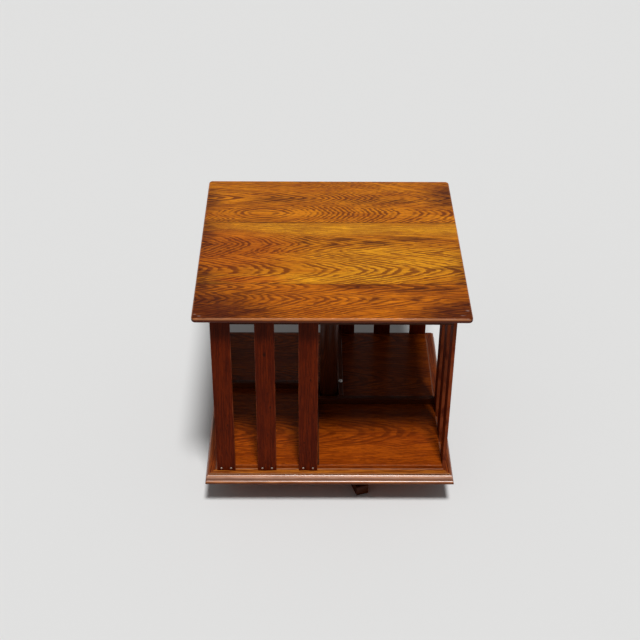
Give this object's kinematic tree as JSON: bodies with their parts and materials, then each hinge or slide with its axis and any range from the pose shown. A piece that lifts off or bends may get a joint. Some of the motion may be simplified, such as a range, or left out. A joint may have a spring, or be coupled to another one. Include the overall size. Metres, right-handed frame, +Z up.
{
  "type": "revolving desktop bookcase",
  "caption": "Square slatted oak bookcase for a desk, with an overhanging top and a moulded shelf, that turns about a centre column on a low cross foot.",
  "frame": {"origin": "on the desk under the column's axis, level with the undersides of the felt pads", "axes": "+Z up along the column, -Y towards the front of the case, +X to its right seen from the front"},
  "size_m": [0.381, 0.381, 0.3535],
  "materials": {
    "oak_top": "plain-sawn oak, golden stain, worn gloss varnish",
    "oak_shelf": "oak, red-brown stain, gloss varnish",
    "oak_inner": "oak, dark stain, thin varnish",
    "oak_slat": "quarter-sawn oak, dark red-brown stain, gloss varnish",
    "oak_moulding": "oak, red-brown stain, gloss varnish",
    "oak_stop": "oak, red-brown stain, varnish",
    "oak_column": "turned oak, dark stain, varnish",
    "oak_foot": "oak, dark stain, varnish",
    "nail_steel": "bright nail heads",
    "bright_steel": "turned steel",
    "brass": "turned brass",
    "black_iron": "black japanned iron",
    "felt": "pressed felt"
  },
  "bodies": {
    "foot": {"foot_arm_lower": "oak_foot", "foot_arm_upper": "oak_foot", "foot_pads": "felt", "spindle_plate": "black_iron", "plate_screws": "bright_steel", "spindle": "bright_steel", "spindle_washer": "bright_steel", "spindle_nut": "bright_steel", "thrust_washer": "brass"},
    "case": {"column": "oak_column", "flange_screws": "bright_steel", "lower_bush": "brass", "moulding_back": "oak_moulding", "moulding_front": "oak_moulding", "moulding_left": "oak_moulding", "moulding_pins": "nail_steel", "moulding_right": "oak_moulding", "shelf_board_back": "oak_shelf", "shelf_board_front": "oak_shelf", "shelf_board_middle": "oak_shelf", "slat_back_1": "oak_slat", "slat_back_2": "oak_slat", "slat_back_3": "oak_slat", "slat_front_1": "oak_slat", "slat_front_2": "oak_slat", "slat_front_3": "oak_slat", "slat_left_1": "oak_slat", "slat_left_2": "oak_slat", "slat_left_3": "oak_slat", "slat_nails": "nail_steel", "slat_right_1": "oak_slat", "slat_right_2": "oak_slat", "slat_right_3": "oak_slat", "stop_back": "oak_stop", "stop_front": "oak_stop", "stop_left": "oak_stop", "stop_pins": "nail_steel", "stop_right": "oak_stop", "stop_screw": "bright_steel", "top_board_back": "oak_top", "top_board_front": "oak_top", "top_board_middle": "oak_top", "top_screws": "bright_steel", "upper_board": "oak_inner", "upper_bush": "brass"}
  },
  "joints": [
    {"name": "revolve", "type": "hinge", "parent": "foot", "child": "case", "pos_m": [0, 0, 0.0485], "axis": [0, 0, 1], "continuous": true}
  ]
}
